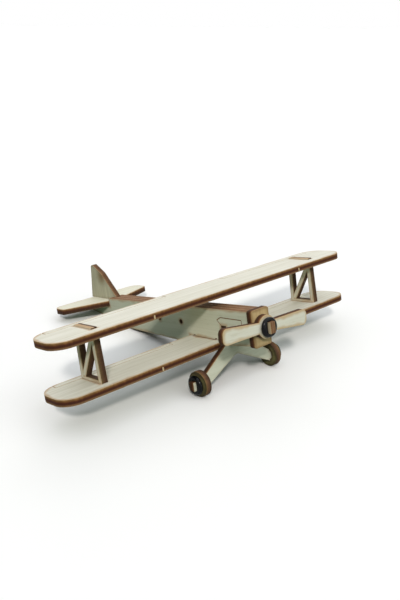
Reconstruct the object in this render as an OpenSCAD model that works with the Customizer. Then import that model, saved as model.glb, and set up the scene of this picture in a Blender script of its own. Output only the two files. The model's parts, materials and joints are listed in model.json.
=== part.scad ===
// Laser-cut plywood biplane model, millimetres.
// Every piece is drawn in the rigged frame: X forward from the wings' leading edge,
// Y to port, Z up from the top of the lower wing. stance() then sets the model on its
// wheels and tail, with the floor at Z = 0.

/* [Plywood] */
// thickness of every ply
ply = 3; // [2.6:0.1:3.4]
// clearance on each side of a glued slot
slot_gap = 0.05; // [0.02:0.01:0.12]
// height a strut tab stands above the upper wing
tab_proud = 0.5; // [0.1:0.1:1]

/* [Engraving] */
// width of a scored line
score_w = 0.45; // [0.2:0.05:0.8]
// depth of a scored line
score_d = 0.25; // [0.1:0.05:0.5]
// scored engine cover, front end behind the nose
cover_setback = 4.5; // [3.5:0.1:6]
// scored engine cover, rear point behind the leading edge
cover_tail = 2.5; // [2:0.1:3.5]
// scored engine cover, above the propeller's axis
cover_up = 2.8; // [2:0.1:3.5]
// scored engine cover, below the propeller's axis
cover_down = 2.2; // [1.5:0.1:3]

/* [Wings] */
// tip to tip
wing_span = 172.5; // [150:0.5:200]
// leading edge to trailing edge
wing_chord = 23; // [21.5:0.5:28]
// corner radius at the front of a tip
tip_front_r = 8; // [4:0.5:10]
// corner radius at the back of a tip
tip_rear_r = 9.5; // [4:0.5:11]
// free height between the two wings
bay_height = 19.5; // [17.5:0.5:26]
// scored aileron, from the trailing edge forward
aileron_chord = 3.6; // [2:0.1:5]
// scored aileron, inner end from mid-span
aileron_root = 18; // [12:0.5:26]
// scored aileron, outer end from the tip
aileron_tip = 7.25; // [4:0.25:12]

/* [Struts] */
// middle of a strut from the wing tip
strut_inset = 21; // [14:0.5:30]
// front of the strut foot behind the leading edge
strut_setback = 4.1; // [2:0.1:4.4]
// length of the strut foot
strut_foot = 15.5; // [13.8:0.1:16.5]
// how far each end of the head is drawn in from the foot
strut_taper = 0.55; // [0:0.05:1]
// shoulder left at each end of a strut tab
strut_shoulder = 0.7; // [0.4:0.1:1.5]
// width of the two uprights
upright_w = 2.2; // [1.6:0.1:2.8]
// width of the diagonal
diagonal_w = 2.3; // [1.6:0.1:2.8]
// height of the rails along the foot and the head
rail_h = 1.2; // [0.8:0.1:2]

/* [Fuselage] */
// nose end ahead of the leading edge
nose_len = 17.9; // [15:0.1:22]
// tail end behind the leading edge
tail_len = 110; // [100:0.5:125]
// top edge at the nose
deck_nose = 15.2; // [13.5:0.1:16.5]
// top edge at the tail end
deck_tail = 12.05; // [11:0.05:13]
// bottom edge at the nose, below the lower wing's top
chin_drop = 0.1; // [0:0.1:1]
// bottom edge at the leading edge
belly_front = 2.1; // [1.5:0.1:2.9]
// lowest point of the bottom edge
belly_drop = 3.7; // [3:0.1:4.5]
// lowest point behind the leading edge
belly_x = 32; // [28:0.5:38]
// bottom edge where the tail starts to rise
break_drop = 2.2; // [1:0.1:3]
// rise of the tail starts behind the leading edge
break_x = 75; // [65:0.5:82]
// bottom edge at the tail end, above the lower wing's top
tail_rise = 5; // [3:0.1:6.5]
// wing tab, front end behind the leading edge
wing_tab_x = 5.4; // [4:0.1:7]
// wing tab, length
wing_tab_len = 13.6; // [10:0.1:14]
// length of the relief notch beside each end of a wing tab
relief_len = 1.5; // [0.6:0.1:1.8]
// height of the relief notch
relief_h = 0.7; // [0.3:0.1:0.8]

/* [Peg holes] */
// diameter of the two cross holes
peg_d = 2.1; // [1.6:0.1:2.6]
// front hole behind the leading edge
peg_x = 28.6; // [26:0.2:32]
// distance between the holes
peg_pitch = 16.8; // [12:0.2:20]
// height of the holes
peg_z = 6.1; // [4:0.1:8]

/* [Nose and propeller] */
// how far the nose plate stands out past the fuselage sides
plate_margin = 0.7; // [0.3:0.1:1.5]
// how far the nose plate stands out above and below
plate_lip = 0.7; // [0.2:0.1:1]
// corner radius of the nose plate
plate_r = 1.2; // [0.5:0.1:3]
// height of the propeller's axis
thrust_z = 8.2; // [7:0.1:9]
// height of the tab that the propeller turns on
shaft_h = 5; // [4:0.1:5.4]
// propeller, tip to tip
prop_len = 50.7; // [44:0.1:54]
// blade width at the tip
prop_tip_w = 7; // [5.5:0.1:8.5]
// blade width at the hub
prop_root_w = 4.2; // [3.4:0.1:5.2]
// corner radius of a blade tip
prop_tip_r = 2.4; // [1:0.1:2.7]
// hub diameter
hub_d = 10.3; // [9:0.1:12]
// propeller's angle from level at rest
prop_rest = 5; // [-30:0.5:30]

/* [Landing gear] */
// bottom of the V between the legs
crotch_drop = 6.4; // [5.5:0.1:7.5]
// fillet at the bottom of the V
crotch_r = 4; // [1:0.1:6]
// wheel axis below the lower wing's top
axle_drop = 13.8; // [13:0.1:17]
// width of a leg at the wheel
leg_end_w = 5.6; // [5.2:0.1:6.4]
// distance between the wheels' mid-planes
track = 44.2; // [40:0.2:50]
// height of the tab that a wheel turns on
axle_h = 4; // [3.4:0.1:4.2]
// top of the plate's tongue inside the fuselage
tongue_z = 5.6; // [4:0.1:6.4]
// open head of the slot above the tongue
slot_head = 1.6; // [0.1:0.1:2]
// how far the tongue's ends sit inside the fuselage sides
tongue_inset = 0.35; // [0.1:0.05:0.6]
// space between the plate and the lower wing
gear_gap = 0.1; // [0.05:0.05:0.3]

/* [Wheels and rings] */
// wheel diameter
wheel_d = 11.5; // [10:0.1:13]
// radial clearance of a turning piece on its tab's corners
bore_gap = 0.06; // [0.02:0.01:0.09]
// end play beside a turning piece
end_play = 0.25; // [0.15:0.05:0.4]
// outside diameter of a rubber ring
ring_od = 8.8; // [8.2:0.1:9]
// thickness of the ring's cord
ring_cord = 2.1; // [1.9:0.1:2.4]
// clearance between a ring and its tab
ring_gap = 0.02; // [0.01:0.01:0.05]
// tab left free beyond a ring
tab_free = 1.1; // [1:0.1:3]

/* [Tail] */
// stabilizer, tip to tip
stab_span = 55; // [50:0.5:64]
// stabilizer's top face above the lower wing's top
stab_top = 11.3; // [10.6:0.1:12]
// stabilizer's chord at the fuselage
stab_root = 20.2; // [18.5:0.1:23]
// stabilizer's chord at the tip
stab_tip = 11; // [9:0.1:14]
// corner radius at the front of a stabilizer tip
stab_front_r = 1.6; // [0.5:0.1:3]
// corner radius at the back of a stabilizer tip
stab_rear_r = 4.5; // [2:0.1:5]
// fin's height above the stabilizer
fin_h = 18.5; // [16:0.1:21]
// fin's length along its base
fin_base = 25.9; // [24:0.1:27.5]
// how far the fin's back corner stands behind the fuselage
fin_overhang = 1.2; // [0:0.1:2]
// lean of the trailing edge, top against base
fin_lean = 3.6; // [1:0.1:6]
// shoulder of the leading edge, behind the front corner
fin_shoulder_x = 13.2; // [11:0.1:14.5]
// shoulder of the leading edge, above the base
fin_shoulder_z = 14.1; // [12:0.1:15]
// direction that the shoulder faces, up from forward
fin_shoulder_a = 51.5; // [46:0.5:56]
// rounding of the shoulder
fin_shoulder_r = 6; // [2:0.1:8]
// rounding of the top corner
fin_top_r = 1.4; // [0.6:0.1:2]
// length of the fin's tenon through the stabilizer
tenon_len = 12; // [8:0.5:14]
// tenon's front end behind the stabilizer's leading edge
tenon_setback = 3; // [2:0.1:4]

/* [Hidden] */
$fn = 96;
// overlap of joined shapes and overrun of cuts
e = 0.5;
// steps on each side of the fillet under the landing gear
crotch_steps = 8;
birch = "#EADFC6";
rubber = "#17181B";
body_w = 3 * ply;
half_span = wing_span / 2;
upper_z = bay_height;
strut_y = half_span - strut_inset;
aileron_x = aileron_chord - wing_chord;
strut_tab = strut_foot - 2 * strut_taper - 2 * strut_shoulder;
strut_tab_x = -strut_setback - strut_taper - strut_shoulder;

// turning pieces along the shaft tab, from the nose plate forward
prop_x = nose_len + ply + end_play;
prop_ring_x = prop_x + ply + end_play;
shaft_end = prop_ring_x + ring_cord + tab_free;
prop_bore = norm([ply, shaft_h]) / 2 + bore_gap;

// turning pieces along an axle tab, from the leg outward
wheel_y = track / 2 - ply / 2;
leg_y = wheel_y - end_play;
wheel_ring_y = wheel_y + ply + end_play;
axle_end = wheel_ring_y + ring_cord + tab_free;
wheel_bore = norm([ply, axle_h]) / 2 + bore_gap;
gear_x = gear_gap;
axle_x = gear_x + ply / 2;

// tail
stab_z = stab_top - ply;
stab_le = stab_root - tail_len;
stab_half = stab_span / 2;
stab_flat = body_w / 2 + e;
fin_back = -tail_len - fin_overhang;
fin_front = fin_back + fin_base;
fin_top_x = fin_back + fin_lean + fin_top_r;
fin_top_z = stab_top + fin_h - fin_top_r;
tenon_x = stab_le - tenon_setback;

// stance on the wheels and the tail's lower corner
reach = axle_x + tail_len;
climb = tail_rise + axle_drop;
pitch = atan2(climb, reach) + asin(wheel_d / 2 / norm([reach, climb]));
floor_z = axle_x * sin(pitch) - axle_drop * cos(pitch) - wheel_d / 2;
front_x = level_x(shaft_end, thrust_z - shaft_h / 2);
back_x = min(level_x(fin_back, stab_top), level_x(fin_top_x, fin_top_z) - fin_top_r);
mid_x = (front_x + back_x) / 2;

function level_x(x, z) = x * cos(pitch) - z * sin(pitch);
function deck_z(x) = deck_tail + (deck_nose - deck_tail) * (x + tail_len) / (nose_len + tail_len);
function strut_front(z) = -strut_setback - strut_taper * z / bay_height;
function strut_back(z) = -strut_setback - strut_foot + strut_taper * z / bay_height;

// sets a rigged piece on the floor
module stance()
    translate([-mid_x, 0, -floor_z])
        rotate([0, -pitch, 0])
            children();

// a ply that stands along the fuselage, drawn in X and Z, from y to y + ply
module along(y)
    translate([0, y + ply, 0])
        rotate([90, 0, 0])
            linear_extrude(ply)
                children();

// a ply that faces forward, drawn in Y and Z, from x to x + ply
module facing(x)
    translate([x, 0, 0])
        rotate([90, 0, 90])
            linear_extrude(ply)
                children();

// a ply that lies flat, drawn in X and Y, from z to z + ply
module flat(z)
    translate([0, 0, z])
        linear_extrude(ply)
            children();

// a bar of width w from point a to point b
module bar(a, b, w)
    translate(a)
        rotate(atan2(b[1] - a[1], b[0] - a[0]))
            translate([0, -w / 2])
                square([norm(b - a), w]);

// what a rounded corner about p takes away, towards sx and sy
module box_corner(p, r, sx, sy)
    translate(p)
        difference() {
            translate([min(0, sx * (r + e)), min(0, sy * (r + e))]) square(r + e);
            circle(r);
        }

// wing outline, leading edge on x = 0
module wing_outline()
    difference() {
        translate([-wing_chord, -half_span]) square([wing_chord, wing_span]);
        for (s = [-1, 1]) {
            box_corner([-tip_front_r, s * (half_span - tip_front_r)], tip_front_r, 1, s);
            box_corner([tip_rear_r - wing_chord, s * (half_span - tip_rear_r)], tip_rear_r, -1, s);
        }
    }

module strut_mortises()
    for (s = [-1, 1])
        translate([strut_tab_x - strut_tab - slot_gap, s * strut_y - ply / 2 - slot_gap])
            square([strut_tab + 2 * slot_gap, ply + 2 * slot_gap]);

module aileron_scores() {
    out = half_span - aileron_tip;
    for (s = [-1, 1]) {
        bar([aileron_x, s * aileron_root], [aileron_x, s * out], score_w);
        for (y = [aileron_root, out])
            bar([aileron_x, s * y], [aileron_x - aileron_chord - e, s * y], score_w);
    }
}

module wing(z)
    difference() {
        flat(z) difference() {
            wing_outline();
            strut_mortises();
            children();
        }
        translate([0, 0, z + ply - score_d]) linear_extrude(score_d + e) aileron_scores();
    }

module upper_wing()
    color(birch) stance() wing(upper_z);

module lower_wing()
    color(birch) stance() wing(-ply)
        translate([-wing_tab_x - wing_tab_len - slot_gap, -body_w / 2 - slot_gap])
            square([wing_tab_len + 2 * slot_gap, body_w + 2 * slot_gap]);

module strut_profile() {
    low = rail_h;
    high = bay_height - rail_h;
    back_foot = [strut_back(low) + upright_w, low];
    front_head = [strut_front(high) - upright_w, high];
    difference() {
        polygon([
            [strut_front(0), 0], [strut_front(bay_height), bay_height],
            [strut_back(bay_height), bay_height], [strut_back(0), 0]
        ]);
        difference() {
            polygon([
                back_foot, [strut_front(low) - upright_w, low],
                front_head, [strut_back(high) + upright_w, high]
            ]);
            bar(back_foot, front_head, diagonal_w);
        }
    }
    translate([strut_tab_x - strut_tab, bay_height - e]) square([strut_tab, ply + tab_proud + e]);
    translate([strut_tab_x - strut_tab, -ply]) square([strut_tab, ply + e]);
}

module strut(s)
    color(birch) stance() along(s * strut_y - ply / 2) strut_profile();

module strut_right() strut(-1);

module strut_left() strut(1);

// outline shared by the three fuselage plies
module fuselage_profile() {
    slot_x = gear_x - slot_gap;
    difference() {
        polygon([
            [nose_len, deck_nose], [-tail_len, deck_tail], [-tail_len, tail_rise],
            [-break_x, -break_drop], [-belly_x, -belly_drop], [0, -belly_front], [nose_len, -chin_drop]
        ]);
        translate([-wing_chord - slot_gap, -belly_drop - e])
            square([wing_chord + slot_gap + slot_x + e, belly_drop + e]);
        translate([slot_x, -belly_drop - e])
            square([ply + 2 * slot_gap, belly_drop + e + tongue_z + slot_head]);
        translate([-tail_len - e, stab_z]) square([stab_root + e + slot_gap, deck_nose]);
        for (x = [-peg_x, -peg_x - peg_pitch])
            translate([x, peg_z]) circle(d = peg_d);
        for (x = [-wing_tab_x, -wing_tab_x - wing_tab_len - relief_len])
            translate([x, -e]) square([relief_len, relief_h + e]);
    }
    translate([-wing_tab_x - wing_tab_len, -ply]) square([wing_tab_len, ply + e]);
}

module fuselage_core()
    color(birch) stance() along(-ply / 2) {
        fuselage_profile();
        translate([nose_len - e, thrust_z - shaft_h / 2]) square([shaft_end - nose_len + e, shaft_h]);
    }

// scored outline of the engine cover on a fuselage side
module cover_scores() {
    front = nose_len - cover_setback;
    top = thrust_z + cover_up;
    marks = [
        [front, thrust_z - cover_down], [front, top], [gear_x, top],
        [-cover_tail, (top + thrust_z) / 2], [gear_x, tongue_z + slot_head]
    ];
    for (i = [0 : len(marks) - 2])
        bar(marks[i], marks[i + 1], score_w);
}

module fuselage_side()
    difference() {
        along(-body_w / 2) fuselage_profile();
        translate([0, score_d - body_w / 2, 0])
            rotate([90, 0, 0])
                linear_extrude(score_d + e)
                    cover_scores();
    }

module fuselage_side_right()
    color(birch) stance() fuselage_side();

module fuselage_side_left()
    color(birch) stance() mirror([0, 1, 0]) fuselage_side();

module nose_plate() {
    w = body_w + 2 * plate_margin;
    low = -chin_drop - plate_lip;
    h = deck_nose + plate_lip - low;
    color("#C9AE7C") stance() facing(nose_len) difference() {
        translate([-w / 2, low]) square([w, h]);
        for (s = [-1, 1], t = [-1, 1])
            box_corner([s * (w / 2 - plate_r), low + h / 2 + t * (h / 2 - plate_r)], plate_r, s, t);
        translate([-ply / 2 - slot_gap, thrust_z - shaft_h / 2 - slot_gap])
            square([ply + 2 * slot_gap, shaft_h + 2 * slot_gap]);
    }
}

// one blade along +X, root past the hub's middle
module blade() {
    end = prop_len / 2 - prop_tip_r;
    straight = prop_tip_w - 2 * prop_tip_r;
    polygon([
        [-e, -prop_root_w / 2], [end, -prop_tip_w / 2],
        [end, prop_tip_w / 2], [-e, prop_root_w / 2]
    ]);
    for (s = [-1, 1])
        translate([end, s * straight / 2]) circle(prop_tip_r);
    translate([end, -straight / 2]) square([prop_tip_r, straight]);
}

module propeller()
    color(birch) stance() facing(prop_x)
        translate([0, thrust_z])
            rotate(-prop_rest)
                difference() {
                    union() {
                        circle(d = hub_d);
                        blade();
                        mirror([1, 0]) blade();
                    }
                    circle(prop_bore);
                }

// rubber ring about Z, resting on z = 0, with an opening for a tab of ply by h
module ring(h)
    difference() {
        translate([0, 0, ring_cord / 2])
            rotate_extrude()
                translate([(ring_od - ring_cord) / 2, 0])
                    circle(d = ring_cord);
        translate([-ply / 2 - ring_gap, -h / 2 - ring_gap, -e])
            cube([ply + 2 * ring_gap, h + 2 * ring_gap, ring_cord + 2 * e]);
    }

module propeller_ring()
    color(rubber) stance()
        translate([prop_ring_x, 0, thrust_z])
            rotate([90, 0, 90])
                ring(shaft_h);

// the V plate before the space under it is cut, drawn in Y and Z
module gear_blank() {
    tongue = body_w / 2 - tongue_inset;
    leg_top = leg_end_w / 2 - axle_drop;
    blank_low = -leg_end_w - axle_drop;
    tab_top = axle_h / 2 - axle_drop;
    tab_low = -axle_h / 2 - axle_drop;
    half = [
        [tongue, tongue_z], [tongue, 0], [leg_y, leg_top], [leg_y, tab_top],
        [axle_end, tab_top], [axle_end, tab_low], [leg_y, tab_low], [leg_y, blank_low]
    ];
    last = len(half) - 1;
    polygon(concat(half, [for (i = [last : -1 : 0]) [-half[i][0], half[i][1]]]));
}

// open space under the V, with a rounded top
module gear_space() {
    drop = axle_drop + leg_end_w / 2 - crotch_drop;
    lean = atan2(drop, leg_y);
    top = -crotch_drop - crotch_r / cos(lean);
    wide = [2 * leg_y, -crotch_drop - 2 * drop];
    fillet = [
        for (i = [-crotch_steps : crotch_steps])
            [crotch_r * sin(lean * i / crotch_steps), top + crotch_r * cos(lean * i / crotch_steps)]
    ];
    polygon(concat([[-wide[0], wide[1]]], fillet, [wide]));
}

module landing_gear()
    color(birch) stance() facing(gear_x) difference() {
        gear_blank();
        gear_space();
    }

module wheel(s)
    color(birch) stance()
        translate([axle_x, s * wheel_y, -axle_drop])
            rotate([-90 * s, 0, 0])
                linear_extrude(ply)
                    difference() {
                        circle(d = wheel_d);
                        circle(wheel_bore);
                    }

module wheel_right() wheel(-1);

module wheel_left() wheel(1);

module wheel_ring(s)
    color(rubber) stance()
        translate([axle_x, s * wheel_ring_y, -axle_drop])
            rotate([-90 * s, 0, 0])
                ring(axle_h);

module wheel_ring_right() wheel_ring(-1);

module wheel_ring_left() wheel_ring(1);

module stabilizer_outline()
    hull() {
        translate([-tail_len, -stab_flat]) square([stab_root, 2 * stab_flat]);
        for (s = [-1, 1]) {
            translate([stab_rear_r - tail_len, s * (stab_half - stab_rear_r)])
                circle(stab_rear_r);
            translate([stab_tip - stab_front_r - tail_len, s * (stab_half - stab_front_r)])
                circle(stab_front_r);
        }
    }

module stabilizer()
    color(birch) stance() flat(stab_z) difference() {
        stabilizer_outline();
        translate([tenon_x - tenon_len - slot_gap, -ply / 2 - slot_gap])
            square([tenon_len + 2 * slot_gap, ply + 2 * slot_gap]);
    }

module fin_profile() {
    shoulder = [fin_front - fin_shoulder_x, stab_top + fin_shoulder_z];
    difference() {
        hull() {
            polygon([[fin_front, stab_top], [fin_back, stab_top], [fin_back, stab_top + e]]);
            translate(shoulder - fin_shoulder_r * [cos(fin_shoulder_a), sin(fin_shoulder_a)])
                circle(fin_shoulder_r);
            translate([fin_top_x, fin_top_z]) circle(fin_top_r);
        }
        polygon([
            [stab_le + slot_gap, stab_top - e], [stab_le + slot_gap, deck_z(stab_le) + slot_gap],
            [fin_front + e, deck_z(fin_front + e) + slot_gap], [fin_front + e, stab_top - e]
        ]);
    }
    translate([tenon_x - tenon_len, stab_z]) square([tenon_len, ply + e]);
}

module fin()
    color(birch) stance() along(-ply / 2) fin_profile();

fuselage_core();
fuselage_side_right();
fuselage_side_left();
nose_plate();
propeller();
propeller_ring();
lower_wing();
upper_wing();
strut_right();
strut_left();
landing_gear();
wheel_right();
wheel_left();
wheel_ring_right();
wheel_ring_left();
stabilizer();
fin();
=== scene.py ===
"""Looks for a laser-cut plywood biplane: birch faces, scorched cuts, rubber rings, studio and camera."""
import json
import logging
import math
import random
from dataclasses import dataclass, field
from enum import Enum
from typing import Any

import bmesh
import bpy
from mathutils import Matrix, Vector


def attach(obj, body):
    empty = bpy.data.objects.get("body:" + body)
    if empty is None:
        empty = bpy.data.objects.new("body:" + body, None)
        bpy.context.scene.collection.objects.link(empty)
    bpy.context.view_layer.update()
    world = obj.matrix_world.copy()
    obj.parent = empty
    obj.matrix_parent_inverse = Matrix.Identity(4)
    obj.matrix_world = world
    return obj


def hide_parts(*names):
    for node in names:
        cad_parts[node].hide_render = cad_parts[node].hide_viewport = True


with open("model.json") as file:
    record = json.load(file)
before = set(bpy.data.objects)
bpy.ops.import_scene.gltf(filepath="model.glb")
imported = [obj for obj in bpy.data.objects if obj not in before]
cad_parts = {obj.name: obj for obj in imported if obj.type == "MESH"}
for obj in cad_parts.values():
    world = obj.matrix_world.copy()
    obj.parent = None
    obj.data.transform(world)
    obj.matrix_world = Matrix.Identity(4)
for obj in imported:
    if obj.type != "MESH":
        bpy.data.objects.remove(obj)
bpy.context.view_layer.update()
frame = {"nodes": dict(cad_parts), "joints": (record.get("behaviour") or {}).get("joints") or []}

log = logging.getLogger("biplane")
MM = 0.001
NEARLY_ZERO = 1e-6
Point2 = tuple[float, float]
Point3 = tuple[float, float, float]
Tree = bpy.types.NodeTree
Socket = bpy.types.NodeSocket
# axes of the rig that the plies are drawn in
FORWARD: Point3 = (1, 0, 0)
PORT: Point3 = (0, 1, 0)
STARBOARD: Point3 = (0, -1, 0)
UP: Point3 = (0, 0, 1)
# sizes that several pieces share, in millimetres
SHEET = 3.0
WING_CHORD = 23.0
TAIL_X = -110.0
STAB_Z = 8.3
# chords that stand for a round in the outlines that a finish measures from
CORNER_STEPS = 3
TIP_STEPS = 4
HOLE_SIDES = 12
DISC_SIDES = 24
# colour sockets of the Mix node, by number, because its number sockets come first under the same names
MIX_A, MIX_B, MIX_OUT = 6, 7, 2


class Side(Enum):
    """The two sides of the model, valued by their sign along Y."""

    RIGHT = -1
    LEFT = 1


class Edge(Enum):
    """The two long edges of a wing, valued by the way that they face along X."""

    LEADING = 1
    TRAILING = -1


def linear(code: str) -> tuple[float, float, float, float]:
    """Turn an sRGB hex colour into a linear one.

    Args:
        code: six hex digits with a leading #.

    Returns:
        Linear red, green, blue and an alpha of 1.
    """
    channels = [int(code[i:i + 2], 16) / 255 for i in (1, 3, 5)]
    curve = [c / 12.92 if c <= 0.04045 else ((c + 0.055) / 1.055) ** 2.4 for c in channels]
    return (curve[0], curve[1], curve[2], 1.0)


def add(tree: Tree, kind: str, inputs: dict[Any, Any] | None = None, **settings: Any) -> bpy.types.Node:
    """Add one node with its settings, values and links.

    Args:
        tree: node tree that takes the node.
        kind: Blender's name of the node type.
        inputs: socket name or number to a value, or to the output socket that feeds it.
        settings: the node's own properties.

    Returns:
        The new node.
    """
    node = tree.nodes.new(kind)
    for name, value in settings.items():
        setattr(node, name, value)
    for key, value in (inputs or {}).items():
        if isinstance(value, bpy.types.NodeSocket):
            tree.links.new(value, node.inputs[key])
        else:
            node.inputs[key].default_value = value
    return node


def blank_material(name: str) -> bpy.types.Material:
    """Make a material with an empty node tree.

    Args:
        name: the material's name.

    Returns:
        The new material.
    """
    material = bpy.data.materials.new(name)
    material.use_nodes = True
    material.node_tree.nodes.clear()
    return material


def rectangle(a: Point2, b: Point2) -> list[Point2]:
    """Corners of the upright rectangle between two opposite corners."""
    return [a, (b[0], a[1]), b, (a[0], b[1])]


def arc(centre: Point2, radius: float, start: float, stop: float, steps: int) -> list[Point2]:
    """Points along an arc.

    Args:
        centre: middle of the arc.
        radius: its radius.
        start: first angle in degrees.
        stop: last angle in degrees.
        steps: number of chords.

    Returns:
        steps + 1 points from start to stop.
    """
    angles = [math.radians(start + (stop - start) * i / steps) for i in range(steps + 1)]
    return [(centre[0] + radius * math.cos(a), centre[1] + radius * math.sin(a)) for a in angles]


def circle(centre: Point2, radius: float, sides: int) -> list[Point2]:
    """Corners of a regular polygon that stands for a circle."""
    return arc(centre, radius, 0, 360 - 360 / sides, sides - 1)


@dataclass(frozen=True)
class Rig:
    """The tilted frame of the plies: X forward from the wings' leading edge, Z up from the lower wing.

    Attributes:
        cos: cosine of the model's nose-up pitch.
        sin: sine of that pitch.
        shift: the rig's origin in the row frame, in metres.
    """

    cos: float
    sin: float
    shift: Vector

    @classmethod
    def from_joints(cls, joints: list[dict[str, Any]], axle: Point3) -> "Rig":
        """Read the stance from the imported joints.

        Args:
            joints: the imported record's joints.
            axle: the right wheel's middle in rig millimetres.

        Returns:
            The rig on its wheels and tail.
        """
        by_name = {joint["name"]: joint for joint in joints}
        shaft = Vector(by_name["propeller_spin"]["axis"]).normalized()
        turned = cls(shaft.x, shaft.z, Vector()).point(*axle)
        return cls(shaft.x, shaft.z, Vector(by_name["wheel_right_spin"]["pos_m"]) - turned)

    def axis(self, x: float, y: float, z: float) -> Vector:
        """Turn a rig direction into the row frame."""
        return Vector((x * self.cos - z * self.sin, y, x * self.sin + z * self.cos))

    def point(self, x: float, y: float, z: float) -> Vector:
        """Place a rig point, in millimetres, in the row frame, in metres."""
        return self.axis(x, y, z) * MM + self.shift


@dataclass(frozen=True)
class Board:
    """One flat ply.

    Attributes:
        node: CAD node that the ply is.
        corner: a point of its back face, in rig millimetres.
        grain: rig axis that the face veneer's fibres run along.
        face: rig axis from the back face to the show face.
        solids: convex outlines of the wood, as rig points.
        cuts: convex outlines of slots and holes, as rig points.
        rubbed: distance along the grain past which a tab's end is rubbed pale, if it is.
        stain: rig point and radius of a smoke stain on the show face, if there is one.
    """

    node: str
    corner: Point3
    grain: Point3
    face: Point3
    solids: list[list[Point3]]
    cuts: list[list[Point3]] = field(default_factory=list)
    rubbed: float | None = None
    stain: tuple[Point3, float] | None = None

    def across(self) -> Vector:
        """Rig axis across the grain."""
        return Vector(self.face).cross(Vector(self.grain))

    def flat(self, point: Point3) -> Point2:
        """Place of a rig point along the grain and across it."""
        away = Vector(point) - Vector(self.corner)
        return (away.dot(Vector(self.grain)), away.dot(self.across()))

    def half_planes(self, outline: list[Point3]) -> list[Point3]:
        """Inside distance of a convex outline, as planes over (along the grain, across it, 1).

        Args:
            outline: rig points in order.

        Returns:
            One plane for each side, positive inside.
        """
        flat = [self.flat(point) for point in outline]
        middle = (sum(p[0] for p in flat) / len(flat), sum(p[1] for p in flat) / len(flat))
        planes = []
        for a, b in zip(flat, flat[1:] + flat[:1]):
            length = math.dist(a, b)
            if length < NEARLY_ZERO:
                continue
            normal = ((a[1] - b[1]) / length, (b[0] - a[0]) / length)
            offset = -normal[0] * a[0] - normal[1] * a[1]
            if normal[0] * middle[0] + normal[1] * middle[1] + offset < 0:
                normal, offset = (-normal[0], -normal[1]), -offset
            planes.append((normal[0], normal[1], offset))
        return planes


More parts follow.
